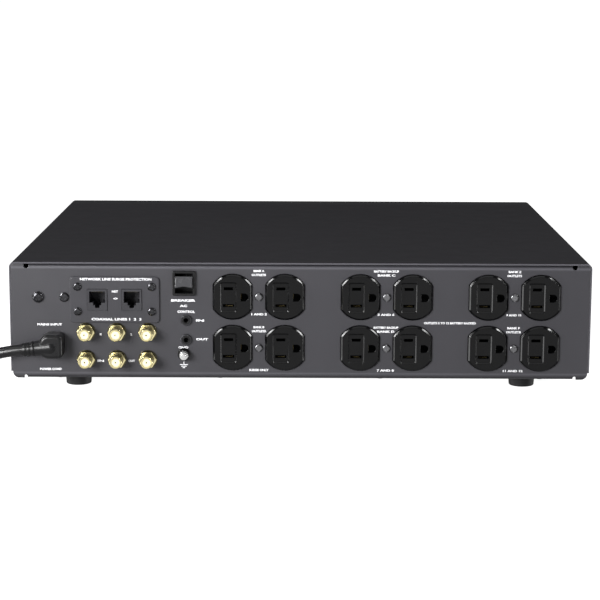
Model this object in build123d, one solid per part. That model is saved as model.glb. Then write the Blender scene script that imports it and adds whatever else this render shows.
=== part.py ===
from build123d import *
from math import atan2, cos, degrees, pi, radians, sin, sqrt, tan
import os

# Rack-width uninterruptible power supply, two units high, standing on four rubber feet.
#
# Frame: millimetres, +Z up, origin at the middle of the footprint on the surface it stands on.
# The front (bezel, display, battery drawer) faces -Y. The rear panel, with twelve outlets, the
# line-protection sockets, the breaker and the captive mains lead, faces +Y.
#

# ---------------------------------------------------------------- driving dimensions
CASE_W = 432.0          # 17 in
CASE_H = 87.5           # two rack units less clearance
CASE_D = 375.0          # bezel face to rear panel face
FOOT_H = 12.0
SHEET = 1.2             # steel sheet
BEND_R = 4.0            # outside bend radius of the cover
PAN_BEND_R = 4.6        # outside bend radius of the base pan
COVER_LIFT = 5.0        # the cover's sides stop this far above the pan's underside
FIT = 0.15              # gap between nested sheets
REAR_Y = 186.0          # outer face of the rear panel
BEZEL_D = 26.0

FRONT_Y = REAR_Y - CASE_D
BEZEL_BACK = FRONT_Y + BEZEL_D
BASE_Z = FOOT_H
TOP_Z = BASE_Z + CASE_H
HALF_W = CASE_W / 2
INNER_HALF = HALF_W - SHEET - FIT
INNER_TOP = TOP_Z - SHEET - FIT

# rear panel layout: x as seen from the front, z above the underside of the case
OUTLET_COLUMNS = (31.0, -64.0, -159.0)
OUTLET_ROWS = (62.0, 23.5)
FACE_PITCH = 38.9       # between the two faces of a duplex receptacle
FACE_R = 17.0
FACE_HALF = 14.3
FACE_OUT = 2.5
BLADE_X = 3.0           # blade line, from the face's centre
GROUND_X = BLADE_X - 11.9
BLADE_Z = 6.35
COAX_COLUMNS = (159.6, 136.7, 113.8)
COAX_ROWS = (35.0, 14.4)
PLATE_X, PLATE_Z = 137.9, 59.5
PLATE_W, PLATE_H, PLATE_T = 66.4, 34.6, 1.6
PLATE_SCREW_Z = 60.2
PLATE_SCREW_DX, PLATE_SCREW_DZ = 55.0, 18.6
JACK_DX = 25.6
BREAKER_X, BREAKER_Z = 86.4, 72.2
TRIGGER_X = 85.0
TRIGGER_ROWS = (44.4, 29.6)
GROUND_POST_X, GROUND_POST_Z = 86.6, 18.4
LEAD_X, LEAD_Z = 184.6, 26.2
RELIEF_Z = 25.3
RELIEF_LENGTH = 21.0    # sleeve, from the middle of the boss
RELIEF_TILT = 5.5       # degrees below level
PANEL_SCREWS = ((194.7, 61.4, 4.4), (175.5, 61.3, 3.6))
NOTCH_X = 204.5         # bend relief notches of the rear panel
PAN_SCREW_Y = REAR_Y - 8.5

# feet and fixing screws
FOOT_X = 170.0
FOOT_ROWS = (REAR_Y - 37.0, FRONT_Y + 55.0)
FOOT_R = 10.5
SIDE_SCREW_Z = BASE_Z + 10.5
SIDE_SCREW_ROWS = (-120.0, 0.0, 120.0)
EAR_HOLE_Y = (-150.0, -118.0)
EAR_HOLE_Z = (BASE_Z + 24.0, BASE_Z + 64.0)
EAR_HOLE_R = 2.1

# battery drawer
DRAWER_X = 114.0
DRAWER_FRONT_W, DRAWER_FRONT_H = 183.0, 74.0
DRAWER_FRONT_T = 4.0
DRAWER_Z = BASE_Z + CASE_H / 2
BATTERY = (151.0, 94.0, 65.0)
TERMINAL_H = 6.0
TRAY_W = 154.4
TRAY_BASE_Z = BASE_Z + 6.8
RUNNER_Z = TRAY_BASE_Z - 0.4 - SHEET
TRAY_END_Y = FRONT_Y + 214.0
THUMB_DX = 84.0
BAY_HALF = 79.2         # inside of the bay's side walls, from its middle

# front controls
DISPLAY_X, DISPLAY_Z = -92.0, BASE_Z + 45.0
DISPLAY_W, DISPLAY_H = 118.0, 46.0
POWER_X = -182.0
MENU_X = -12.0
MENU_ROWS = (BASE_Z + 56.0, BASE_Z + 34.0)
BOARD_Y = FRONT_Y + 17.0

# fan and inner parts
FAN_Y, FAN_Z = 62.0, BASE_Z + 44.0
FAN_SIZE, FAN_DEPTH = 60.0, 25.0
FAN_X = -INNER_HALF + SHEET + 0.5

# mains lead
CORD_D = 8.4
CORD_R = CORD_D / 2
RELIEF_Y = REAR_Y + 10.0
RELIEF_END_X = LEAD_X + RELIEF_LENGTH * cos(radians(RELIEF_TILT))
RELIEF_END_Z = BASE_Z + RELIEF_Z - RELIEF_LENGTH * sin(radians(RELIEF_TILT))
COIL_X, COIL_Y = 311.0, 112.0
COIL_MEAN_R = 49.0
COIL_TURNS_WIDE, COIL_LAYERS = 3, 2


# ---------------------------------------------------------------- small builders
def block(x0, x1, y0, y1, z0, z1):
    """Box between two corners."""
    return Pos(min(x0, x1), min(y0, y1), min(z0, z1)) * Box(
        abs(x1 - x0), abs(y1 - y0), abs(z1 - z0), align=(Align.MIN,) * 3
    )


def rod(axis, a, b, start, end, radius, end_radius=None):
    """Cylinder or cone along an axis; a and b are the two other coordinates, in X, Y, Z order."""
    length = abs(end - start)
    low = min(start, end)
    if end_radius is None:
        solid = Cylinder(radius, length, align=(Align.CENTER, Align.CENTER, Align.MIN))
    else:
        radii = (radius, end_radius) if end > start else (end_radius, radius)
        solid = Cone(*radii, length, align=(Align.CENTER, Align.CENTER, Align.MIN))
    if axis == "X":
        return Pos(low, a, b) * Rot(0, 90, 0) * solid
    if axis == "Y":
        return Pos(a, low, b) * Rot(-90, 0, 0) * solid
    return Pos(a, b, low) * solid


def rear_rod(x, z, y0, y1, radius, end_radius=None):
    """Cylinder square to the rear panel; z from the case's underside, y from the panel's face."""
    return rod("Y", x, BASE_Z + z, REAR_Y + y0, REAR_Y + y1, radius, end_radius)


def rear_block(x, z, width, height, y0, y1):
    """Box square to the rear panel, centred on x and z."""
    return block(
        x - width / 2, x + width / 2, REAR_Y + y0, REAR_Y + y1,
        BASE_Z + z - height / 2, BASE_Z + z + height / 2,
    )


def round_block(x, z, width, height, y0, y1, radius):
    """rear_block with its four edges along Y rounded."""
    solid = rear_block(x, z, width, height, y0, y1)
    return fillet(solid.edges().filter_by(Axis.Y), radius)


def hexagon(x, z, across_flats, y0, y1, bore):
    """Hexagon nut on the rear panel with a plain bore."""
    outline = RegularPolygon(across_flats / 2, 6, major_radius=False)
    solid = Pos(x, REAR_Y + y0, BASE_Z + z) * Rot(-90, 0, 0) * extrude(outline, y1 - y0)
    corners = rear_rod(x, z, y0, y1, across_flats * 0.56)
    return solid & corners - rear_rod(x, z, y0 - 1, y1 + 1, bore)


def pan_screw(x, z, face_y, head_r, head_h, shank_r, shank_len, drive="cross"):
    """Domed screw standing on the rear panel, with a cross or a single-slot recess."""
    head = rear_rod(x, z, face_y, face_y + head_h, head_r)
    head = fillet(head.edges().group_by(Axis.Y)[-1], head_h * 0.7)
    recess = rear_block(x, z, head_r * 0.28, head_r * 1.15, face_y + head_h * 0.35, face_y + 9)
    if drive == "cross":
        recess += rear_block(x, z, head_r * 1.15, head_r * 0.28, face_y + head_h * 0.35, face_y + 9)
    else:
        recess = rear_block(x, z, head_r * 0.3, head_r * 2.2, face_y + head_h * 0.5, face_y + 9)
    return head - recess + rear_rod(x, z, face_y - shank_len, face_y, shank_r)


def fluted(axis, a, b, start, end, radius, flutes, depth):
    """Knurled cylinder: a cylinder with shallow grooves along its length."""
    solid = rod(axis, a, b, start, end, radius)
    for i in range(flutes):
        angle = 2 * pi * i / flutes
        u, v = a + radius * cos(angle), b + radius * sin(angle)
        solid -= rod(axis, u, v, start - 1, end + 1, depth)
    return solid


def outlet_centres():
    """(x, z) of the middle of each duplex receptacle, row by row."""
    return [(x, z) for z in OUTLET_ROWS for x in OUTLET_COLUMNS]


def face_centres(x):
    """The x of a receptacle's two faces."""
    return (x - FACE_PITCH / 2, x + FACE_PITCH / 2)


def face_disc(x, z, radius, half_width, y0, y1):
    """Round disc with two flats, the outline of an outlet face."""
    return rear_rod(x, z, y0, y1, radius) & rear_block(x, z, 2 * half_width, 50, y0, y1)


# ---------------------------------------------------------------- sheet-metal case
def rear_panel():
    """Rear panel: sheet with flanges folded in along the top and bottom edges."""
    plate = block(-INNER_HALF, INNER_HALF, REAR_Y - SHEET, REAR_Y, BASE_Z, INNER_TOP)
    corners = plate.edges().filter_by(Axis.Y).group_by(Axis.Z)
    plate = fillet(corners[-1], 2.8)
    plate = fillet(plate.edges().filter_by(Axis.Y).group_by(Axis.Z)[0], PAN_BEND_R)
    bend, flange = 2.6, 14.0
    channel = block(-NOTCH_X, NOTCH_X, REAR_Y - flange, REAR_Y, BASE_Z, INNER_TOP)
    outer = channel.edges().filter_by(Axis.X).group_by(Axis.Y)[-1]
    channel = fillet(outer, bend)
    hollow = block(
        -NOTCH_X, NOTCH_X, REAR_Y - flange, REAR_Y - SHEET, BASE_Z + SHEET, INNER_TOP - SHEET
    )
    hollow = fillet(hollow.edges().filter_by(Axis.X).group_by(Axis.Y)[-1], bend - SHEET)
    middle = block(-NOTCH_X, NOTCH_X, REAR_Y - SHEET, REAR_Y, BASE_Z, INNER_TOP)
    panel = plate - middle + (channel - hollow)
    for side in (-1, 1):
        for z, end, x, width in ((BASE_Z, 1.2, NOTCH_X + 0.5, 2.2), (INNER_TOP, -1.5, NOTCH_X - 1.2, 3.6)):
            panel -= Pos(side * x, REAR_Y, z) * Box(width, 2 * flange + 2, 2 * abs(end))
            panel -= rod("Y", side * x, z + end, REAR_Y - 5, REAR_Y + 5, width / 2)
    panel -= rear_cutouts()
    for x in (-180, -60, 60, 180):
        panel -= rod("Z", x, PAN_SCREW_Y, BASE_Z - 1, BASE_Z + 5, 1.6)
    return panel


def rear_cutouts():
    """Everything that is punched through the rear panel."""
    y0, y1 = -4.0, 4.0
    cuts = []
    for x, z in outlet_centres():
        cuts += [face_disc(f, z, FACE_R + 0.35, FACE_HALF + 0.35, y0, y1) for f in face_centres(x)]
        cuts.append(rear_rod(x, z, y0, y1, 1.8))
    cuts += [rear_rod(x, z, y0, y1, 4.5) for x in COAX_COLUMNS for z in COAX_ROWS]
    cuts.append(rear_block(PLATE_X, PLATE_Z, 44.0, 18.0, y0, y1))
    cuts += [rear_rod(x, z, y0, y1, 1.6) for x, z in plate_screw_centres()]
    cuts.append(rear_block(BREAKER_X, BREAKER_Z, 15.4, 16.6, y0, y1))
    cuts += [rear_rod(TRIGGER_X, z, y0, y1, 3.1) for z in TRIGGER_ROWS]
    cuts.append(rear_rod(GROUND_POST_X, GROUND_POST_Z, y0, y1, 2.1))
    cuts.append(rear_rod(LEAD_X, LEAD_Z, y0, y1, 8.1))
    cuts += [rear_rod(x, z, y0, y1, 1.9) for x, z, _ in PANEL_SCREWS]
    return sum_of(cuts)


def sum_of(solids):
    """Fuses a list of solids that may be apart."""
    total = solids[0]
    return total.fuse(*solids[1:]) if len(solids) > 1 else total


def base_pan():
    """Bottom sheet with turned-up sides; its rear edge is stepped up over the panel's flange."""
    step_y = REAR_Y - 15.0
    pan = block(-INNER_HALF, INNER_HALF, BEZEL_BACK, step_y, BASE_Z, BASE_Z + 16)
    pan = fillet(pan.edges().filter_by(Axis.Y).group_by(Axis.Z)[0], PAN_BEND_R)
    room = block(
        -INNER_HALF + SHEET, INNER_HALF - SHEET, BEZEL_BACK, step_y,
        BASE_Z + SHEET, BASE_Z + 20,
    )
    pan -= fillet(room.edges().filter_by(Axis.Y).group_by(Axis.Z)[0], PAN_BEND_R - SHEET)
    lip_half = NOTCH_X - 4
    pan += block(-lip_half, lip_half, step_y - SHEET, step_y, BASE_Z, BASE_Z + 2 * SHEET)
    pan += block(-lip_half, lip_half, step_y - SHEET, REAR_Y - 3, BASE_Z + SHEET, BASE_Z + 2 * SHEET)
    for x in (-FOOT_X, FOOT_X):
        for y in FOOT_ROWS:
            pan -= rod("Z", x, y, BASE_Z - 1, BASE_Z + 3, 2.1)
    for x in (-180, -60, 60, 180):
        pan -= rod("Z", x, PAN_SCREW_Y, BASE_Z - 1, BASE_Z + 5, 1.45)
    for side in (-1, 1):
        for y in SIDE_SCREW_ROWS:
            pan -= rod("X", y, SIDE_SCREW_Z, side * 205, side * 220, 1.95)
    return pan


def top_cover():
    """Cover: top and two sides in one folded sheet, with vent slots and rack-ear holes."""
    y0, y1 = BEZEL_BACK + 0.3, REAR_Y
    cover = block(-HALF_W, HALF_W, y0, y1, BASE_Z + COVER_LIFT, TOP_Z)
    cover = fillet(cover.edges().filter_by(Axis.Y).group_by(Axis.Z)[-1], BEND_R)
    room = block(-HALF_W + SHEET, HALF_W - SHEET, y0, y1, BASE_Z - 5, TOP_Z - SHEET)
    cover -= fillet(room.edges().filter_by(Axis.Y).group_by(Axis.Z)[-1], BEND_R - SHEET)
    for side in (-1, 1):
        for y in SIDE_SCREW_ROWS:
            cover -= countersunk(side, y, SIDE_SCREW_Z, 0.05)
        for y in EAR_HOLE_Y:
            for z in EAR_HOLE_Z:
                cover -= rod("X", y, z, side * 210, side * 220, EAR_HOLE_R)
    slots = []
    for side in (-1, 1):
        for i in range(13):
            y = FAN_Y - 36 + 6 * i
            slot = block(side * 210, side * 220, y - 1.3, y + 1.3, FAN_Z - 24, FAN_Z + 24)
            slots.append(fillet(slot.edges().filter_by(Axis.X), 1.25))
    return cover - sum_of(slots)


def countersunk(side, y, z, gap):
    """Flush screw in the case's side, or with a gap the hole that it needs."""
    face, under = side * HALF_W, side * (HALF_W - SHEET)
    head = rod("X", y, z, face, under, 3.4 + gap, 1.8 + gap)
    return head + rod("X", y, z, side * (HALF_W - 8), face, 1.8 + gap)


def case_screws():
    """Flush side screws of the cover, and the screws that join rear panel and base pan."""
    screws = []
    for side in (-1, 1):
        for y in SIDE_SCREW_ROWS:
            body = countersunk(side, y, SIDE_SCREW_Z, 0)
            tip = side * HALF_W
            for turn in (0, 90):
                body -= Pos(tip, y, SIDE_SCREW_Z) * Rot(turn, 0, 0) * Box(2.0, 3.8, 0.8)
            screws.append(body)
    for x in (-180, -60, 60, 180):
        screws.append(rod("Z", x, PAN_SCREW_Y, BASE_Z - 1.0, BASE_Z, 2.6)
                      + rod("Z", x, PAN_SCREW_Y, BASE_Z, BASE_Z + 4.5, 1.4))
    return screws


def front_subpanel():
    """Steel front wall behind the bezel, with the battery bay's opening and a folded top edge."""
    y0, y1 = BEZEL_BACK, BEZEL_BACK + SHEET
    top = INNER_TOP - 0.1
    wall = block(-INNER_HALF + 2, INNER_HALF - 2, y0, y1, BASE_Z + SHEET, top)
    wall = fillet(wall.edges().filter_by(Axis.Y).group_by(Axis.Z)[0], 3.2)
    wall += block(-NOTCH_X, NOTCH_X, y0, y0 + 12, top - SHEET, top)
    half = BAY_HALF - 0.8
    wall -= block(DRAWER_X - half, DRAWER_X + half, y0 - 1, y1 + 1, BASE_Z + 2.0, BASE_Z + 80)
    for side in (-1, 1):
        wall -= rod("Y", DRAWER_X + side * THUMB_DX, DRAWER_Z, y0 - 1, y1 + 1, 2.3)
    for x in (-HALF_W + 7, HALF_W - 7):
        for z in (BASE_Z + 7, TOP_Z - 7):
            wall -= rod("Y", x, z, y0 - 1, y1 + 1, 1.6)
    wall -= block(-40, 0, y0 - 1, y1 + 1, BASE_Z + 36, BASE_Z + 52)
    return wall


def bay_cage():
    """Folded cage of the battery bay: two side walls with runner flanges, and a rear stop."""
    y0, y1 = BEZEL_BACK + SHEET, TRAY_END_Y + 14
    z0, z1 = BASE_Z + SHEET, BASE_Z + 76
    left, right = DRAWER_X - BAY_HALF, DRAWER_X + BAY_HALF
    cage = block(left - SHEET, left, y0, y1, z0, z1)
    cage += block(right, right + SHEET, y0, y1, z0, z1)
    cage += block(left, left + 12, y0, y1, RUNNER_Z, RUNNER_Z + SHEET)
    cage += block(right - 12, right, y0, y1, RUNNER_Z, RUNNER_Z + SHEET)
    back = block(left - SHEET, right + SHEET, y1 - SHEET, y1, z0, z1)
    back -= block(DRAWER_X - 22, DRAWER_X + 22, y1 - 3, y1 + 3, z0 + 24, z0 + 50)
    return cage + back


def rubber_feet():
    """Four round feet with a recess for the fixing screw."""
    feet = []
    for x in (-FOOT_X, FOOT_X):
        for y in FOOT_ROWS:
            foot = rod("Z", x, y, 0, FOOT_H, FOOT_R - 1.0, FOOT_R)
            foot = fillet(foot.edges().group_by(Axis.Z)[0], 1.0)
            foot -= rod("Z", x, y, -1, 6, 4.6) + rod("Z", x, y, 5, 20, 2.1)
            feet.append(foot)
    return feet


def foot_screws():
    """The four foot screws and the nuts pressed into the base pan."""
    pieces = []
    for x in (-FOOT_X, FOOT_X):
        for y in FOOT_ROWS:
            pieces.append(rod("Z", x, y, 3.6, 6, 3.8) + rod("Z", x, y, 6, BASE_Z + 2.3, 1.95))
            pieces.append(rod("Z", x, y, BASE_Z + SHEET, BASE_Z + 2 * SHEET, 3.6)
                          - rod("Z", x, y, BASE_Z, BASE_Z + 4, 2.0))
    return pieces


# ---------------------------------------------------------------- outlets
def receptacle(x, z):
    """Duplex receptacle laid on its side: two faces, each with blade slots and a ground hole."""
    body = round_block(x, z, 73.0, 34.8, -27.0, -2 * SHEET, 3.0)
    faces = []
    for f in face_centres(x):
        disc = face_disc(f, z, FACE_R, FACE_HALF, -2 * SHEET - 1, FACE_OUT)
        faces.append(chamfer(disc.edges().group_by(Axis.Y)[-1], 1.1))
    body = sum_of([body, *faces])
    for f in face_centres(x):
        recess = round_block(f + BLADE_X, z, 12.0, 22.4, FACE_OUT - 0.9, FACE_OUT + 1, 1.6)
        body -= chamfer(recess.edges().group_by(Axis.Y)[0], 0.8)
        body -= rear_block(f + BLADE_X, z + BLADE_Z, 6.8, 2.0, -16.5, FACE_OUT + 1)
        body -= rear_block(f + BLADE_X, z - BLADE_Z, 8.4, 2.0, -16.5, FACE_OUT + 1)
        body -= ground_hole(f + GROUND_X, z)
    return body - rear_rod(x, z, -14, 0, 1.9)


def ground_hole(x, z):
    """Arched ground opening: flat towards the blades, round away from them."""
    half = 2.9
    arch = rear_rod(x, z, -16.5, FACE_OUT + 1, half)
    return arch + rear_block(x + half / 2, z, half, 2 * half, -16.5, FACE_OUT + 1)


def receptacle_straps():
    """Steel frames behind the panel that hold the receptacles by their centre screws."""
    straps = []
    for x, z in outlet_centres():
        strap = round_block(x, z, 86.0, 37.6, -2 * SHEET, -SHEET, 3.0)
        for f in face_centres(x):
            strap -= face_disc(f, z, FACE_R + 0.3, FACE_HALF + 0.3, -5, 0)
        straps.append(strap - rear_rod(x, z, -5, 0, 1.65))
    return straps


def receptacle_contacts():
    """Brass contact leaves inside the blade slots and ground holes."""
    leaves = []
    for x, z in outlet_centres():
        for f in face_centres(x):
            for side in (1, -1):
                leaf_z = z + side * (BLADE_Z + 0.8)
                leaves.append(rear_block(f + BLADE_X, leaf_z, 6.0, 0.4, -15.5, -3.0))
            leaves.append(rear_block(f + GROUND_X + 2.7, z, 0.4, 4.6, -15.5, -3.0))
    return leaves


def receptacle_screws():
    """Slotted centre screw of each receptacle."""
    return [pan_screw(x, z, 0.0, 3.1, 1.7, 1.5, 11.0, "slot") for x, z in outlet_centres()]


# ---------------------------------------------------------------- rear controls and sockets
def breaker_body():
    """Body and frame of the rocker breaker."""
    frame = round_block(BREAKER_X, BREAKER_Z, 17.2, 18.6, 0, 2.2, 1.2)
    frame = fillet(frame.edges().group_by(Axis.Y)[-1], 0.5)
    body = frame + rear_block(BREAKER_X, BREAKER_Z, 15.2, 16.4, -28, 0)
    body -= rear_block(BREAKER_X, BREAKER_Z, 13.4, 15.1, -10, 4)
    pivot = rod("X", REAR_Y + ROCKER_PIVOT_Y, BASE_Z + BREAKER_Z,
                BREAKER_X - 7.3, BREAKER_X + 7.3, 1.15)
    tabs = [rear_block(BREAKER_X, BREAKER_Z + dz, 6.3, 0.8, -36, -28) for dz in (-5, 5)]
    return sum_of([body - pivot, *tabs])


ROCKER_PIVOT_Y = -1.2
ROCKER_R = 7.2
ROCKER_TILT = 11.0


def breaker_rocker():
    """Rocker in its on position: a shallow vee that tips about a pin through its middle."""
    y, z = REAR_Y + ROCKER_PIVOT_Y, BASE_Z + BREAKER_Z
    drum = rod("X", y, z, BREAKER_X - 6.4, BREAKER_X + 6.4, ROCKER_R)
    rise = ROCKER_R * tan(radians(ROCKER_TILT))
    crest = 2.9
    outline = Polyline(
        (0, crest), (ROCKER_R, crest + rise), (ROCKER_R, -4.5), (-ROCKER_R, -4.5),
        (-ROCKER_R, crest + rise), close=True,
    )
    vee = extrude(make_face(outline), 6.4, both=True)
    vee = Pos(BREAKER_X, y, z) * Rot(90, 0, 90) * Rot(0, 0, 90) * vee
    pins = rod("X", y, z, BREAKER_X - 7.0, BREAKER_X + 7.0, 1.08)
    rocker = (drum & vee) + pins
    return rocker.rotate(Axis((BREAKER_X, y, z), (1, 0, 0)), ROCKER_TILT)


def trigger_jacks():
    """Two 3.5 mm control jacks."""
    jacks = []
    for z in TRIGGER_ROWS:
        jack = rear_rod(TRIGGER_X, z, -SHEET, 2.4, 3.0)
        jack += rear_block(TRIGGER_X, z, 12.0, 10.0, -16, -SHEET)
        jacks.append(jack - rear_rod(TRIGGER_X, z, -13, 4, 1.8))
    return jacks


def trigger_jack_nuts():
    """Knurled ring nuts of the control jacks."""
    return [
        fluted("Y", TRIGGER_X, BASE_Z + z, REAR_Y, REAR_Y + 1.8, 4.1, 18, 0.25)
        - rear_rod(TRIGGER_X, z, -1, 4, 3.05)
        for z in TRIGGER_ROWS
    ]


def ground_stud():
    """Grounding stud with its outer collar and the nut inside the panel."""
    x, z = GROUND_POST_X, GROUND_POST_Z
    return (rear_rod(x, z, -9, 9.6, 1.98) + rear_rod(x, z, 0, 1.0, 4.8)
            + rear_rod(x, z, -4.4, -SHEET, 4.2))


def ground_nut():
    """Knurled thumb nut that turns on the grounding stud."""
    x, z = GROUND_POST_X, GROUND_POST_Z
    nut = fluted("Y", x, BASE_Z + z, REAR_Y + 1.15, REAR_Y + 5.2, 4.0, 20, 0.28)
    nut += rear_rod(x, z, 5.2, 8.2, 2.9)
    return nut - rear_rod(x, z, 0, 12, 2.04)


def coax_connectors():
    """Six threaded coaxial bulkhead sockets, gold plated."""
    return [
        rear_rod(x, z, -12, 4.6, 4.3) + rear_rod(x, z, 4.6, 12.9, 4.7)
        + rear_rod(x, z, 12.9, 13.5, 4.7, 4.2)
        - rear_rod(x, z, -13, 15, 3.1) + rear_rod(x, z, -4.2, -SHEET, 6.4)
        - rear_rod(x, z, -13, 15, 3.1)
        for x in COAX_COLUMNS for z in COAX_ROWS
    ]


def coax_nuts():
    """Hexagon nut and flat washer of each coaxial socket."""
    pieces = []
    for x in COAX_COLUMNS:
        for z in COAX_ROWS:
            pieces.append(hexagon(x, z, 11.6, 0.8, 3.6, 4.4))
            pieces.append(rear_rod(x, z, 0, 0.8, 7.0) - rear_rod(x, z, -1, 2, 4.4))
    return pieces


def coax_insulators():
    """White insulator with the centre contact's hole in each coaxial socket."""
    return [
        rear_rod(x, z, -12, 13.0, 3.08) - rear_rod(x, z, 5, 15, 0.6)
        for x in COAX_COLUMNS for z in COAX_ROWS
    ]


def plate_screw_centres():
    """(x, z) of the line-protection plate's four screws."""
    return [
        (PLATE_X + dx * PLATE_SCREW_DX / 2, PLATE_SCREW_Z + dz * PLATE_SCREW_DZ / 2)
        for dx in (-1, 1) for dz in (-1, 1)
    ]


def jack_centres():
    """(x, z) of the two network jacks."""
    return [(PLATE_X + side * JACK_DX / 2, PLATE_Z) for side in (1, -1)]


def network_plate():
    """Small plate that carries the two network jacks."""
    plate = round_block(PLATE_X, PLATE_Z, PLATE_W, PLATE_H, 0, PLATE_T, 3.0)
    plate = fillet(plate.edges().group_by(Axis.Y)[-1], 0.4)
    for x, z in jack_centres():
        plate -= rear_block(x, z, 14.8, 16.2, -1, 3)
    for x, z in plate_screw_centres():
        plate -= rear_rod(x, z, -1, 3, 1.6)
    return plate


def network_jacks():
    """Two eight-way network sockets with their latch notch at the bottom."""
    jacks = []
    for x, z in jack_centres():
        jack = rear_block(x, z, 14.6, 16.0, -17, PLATE_T + 0.7)
        jack -= rear_block(x, z + 2.2, 11.8, 8.4, -13, 4)
        jack -= rear_block(x, z - 2.9, 6.2, 2.2, -13, 4)
        jack -= rear_block(x, z - 4.9, 3.4, 2.2, -13, 4)
        jacks.append(jack)
    return jacks


def network_contacts():
    """Eight spring wires in the roof of each network socket."""
    wires = []
    for x, z in jack_centres():
        for i in range(8):
            wire_x = x + (i - 3.5) * 1.02
            wires.append(rear_block(wire_x, z + 5.9, 0.45, 0.9, -12.5, -1.0))
    return wires


def network_plate_screws():
    """Four cross-head screws of the line-protection plate."""
    return [pan_screw(x, z, PLATE_T, 3.1, 1.9, 1.5, 6.0) for x, z in plate_screw_centres()]


def panel_screws():
    """The two larger screws beside the mains lead, the first with a toothed washer."""
    (xa, za, ra), (xb, zb, rb) = PANEL_SCREWS
    first = pan_screw(xa, za, 0.7, ra - 0.5, 2.4, 1.8, 9.0)
    washer = fluted("Y", xa, BASE_Z + za, REAR_Y, REAR_Y + 0.7, ra, 16, 0.4)
    return [first, washer - rear_rod(xa, za, -1, 2, 1.85), pan_screw(xb, zb, 0, rb, 1.6, 1.8, 8.0)]


def surge_board():
    """Circuit board that joins the coaxial and network sockets behind the panel."""
    board = rear_block(PLATE_X, 37.0, 74.0, 70.0, -19.0, -17.4)
    posts = [rear_rod(x, z, -17.4, -12, 3.6) for x in COAX_COLUMNS for z in COAX_ROWS]
    tubes = [rear_block(PLATE_X + dx, 24.6, 7.0, 7.0, -27, -19) for dx in (-24, -8, 8, 24)]
    return sum_of([board, *posts, *tubes])


# ---------------------------------------------------------------- mains lead
def strain_relief():
    """Right-angle strain relief: a rounded hood on the panel and a ribbed, tapered sleeve."""
    boss = rear_block(LEAD_X - 0.3, LEAD_Z, 17.8, 18.0, 0, 15.6)
    corners = boss.edges().filter_by(Axis.Y).group_by(Axis.X)
    boss = fillet(corners[-1], 7.4)
    boss = fillet(boss.edges().filter_by(Axis.Y).group_by(Axis.X)[0], 3.6)
    boss = fillet(boss.edges().group_by(Axis.Y)[-1], 2.6)
    sleeve = rod("X", 0, 0, 0, RELIEF_LENGTH, 6.8, 4.9)
    for i in range(3):
        x = RELIEF_LENGTH - 3.6 - 3.0 * i
        sleeve -= rod("X", 0, 0, x, x + 1.3, 9) - rod("X", 0, 0, x - 1, x + 3, 4.7)
    root = Pos(LEAD_X, RELIEF_Y, BASE_Z + RELIEF_Z)
    boss += root * Rot(0, RELIEF_TILT, 0) * sleeve + root * Sphere(6.8)
    return boss + rear_rod(LEAD_X, LEAD_Z, -SHEET, 0, 7.9) + rear_rod(LEAD_X, LEAD_Z, -6, -SHEET, 9.0)


def coil_outer():
    """Outer radius of the put-away coil."""
    return COIL_MEAN_R + COIL_TURNS_WIDE * CORD_R


CORD_ROUTE = (
    (RELIEF_END_X, RELIEF_Y, RELIEF_END_Z),
    (RELIEF_END_X + 7.5, RELIEF_Y, RELIEF_END_Z - 7.5 * tan(radians(RELIEF_TILT))),
    (228.0, RELIEF_Y - 0.4, 31.6),
    (246.0, 194.0, 21.2),
    (266.0, 190.0, 9.6),
    (290.0, 182.4, CORD_R + 0.05),
    (332.5, 165.2, CORD_R + 0.05),
)


def tube_along(points, radius):
    """Round tube along straight runs joined by arcs as large as their runs allow."""
    runs = [Vector(b) - Vector(a) for a, b in zip(points, points[1:])]
    radii = []
    for first, second in zip(runs, runs[1:]):
        turn = radians(first.get_angle(second))
        radii.append(0.45 * min(first.length, second.length) / tan(turn / 2))
    path = FilletPolyline(*points, radius=radii)
    section = Plane(origin=path @ 0, z_dir=path % 0) * Circle(radius)
    tube = sweep(section, path)
    drawn = pi * radius ** 2 * path.length
    print("cord radii", [round(r) for r in radii], "volume ratio", round(tube.volume / drawn, 4))
    return tube


def power_cord():
    """Mains lead from the strain relief down to the put-away coil, and its tail at the plug."""
    coil = rod("Z", COIL_X, COIL_Y, -1, 40, coil_outer())
    tail_start, tail_end = COIL_Y - 10.0, PLUG_REAR_Y + NECK_LENGTH
    tail = rod("Y", PLUG_X, PLUG_AXIS_Z, tail_start, tail_end, CORD_R)
    return [tube_along(CORD_ROUTE, CORD_R) - coil, tail - coil]


def cord_coil():
    """Outer shape of the put-away coil of mains lead."""
    height = CORD_D * COIL_LAYERS
    ring = rod("Z", COIL_X, COIL_Y, 0, height, coil_outer())
    return ring - rod("Z", COIL_X, COIL_Y, -1, height + 1, COIL_MEAN_R - COIL_TURNS_WIDE * CORD_R)


PLUG_AXIS_Z = 10.4
PLUG_X = COIL_X + COIL_MEAN_R + CORD_D
PLUG_REAR_Y = COIL_Y - 57.0
PLUG_LENGTH = 36.0
NECK_LENGTH = 18.0


def plug_body():
    """Moulded three-pin plug lying beside the coil, pins towards -Y."""
    y0, y1 = PLUG_REAR_Y, PLUG_REAR_Y - PLUG_LENGTH
    body = block(PLUG_X - 13, PLUG_X + 13, y0, y1, PLUG_AXIS_Z - 10.3, PLUG_AXIS_Z + 10.3)
    body = fillet(body.edges().filter_by(Axis.Y), 6.0)
    body = fillet(body.edges().group_by(Axis.Y)[-1], 4.0)
    neck = rod("Y", PLUG_X, PLUG_AXIS_Z, y0 - 2, y0 + NECK_LENGTH, 7.2, 5.2)
    return body + neck


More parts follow.
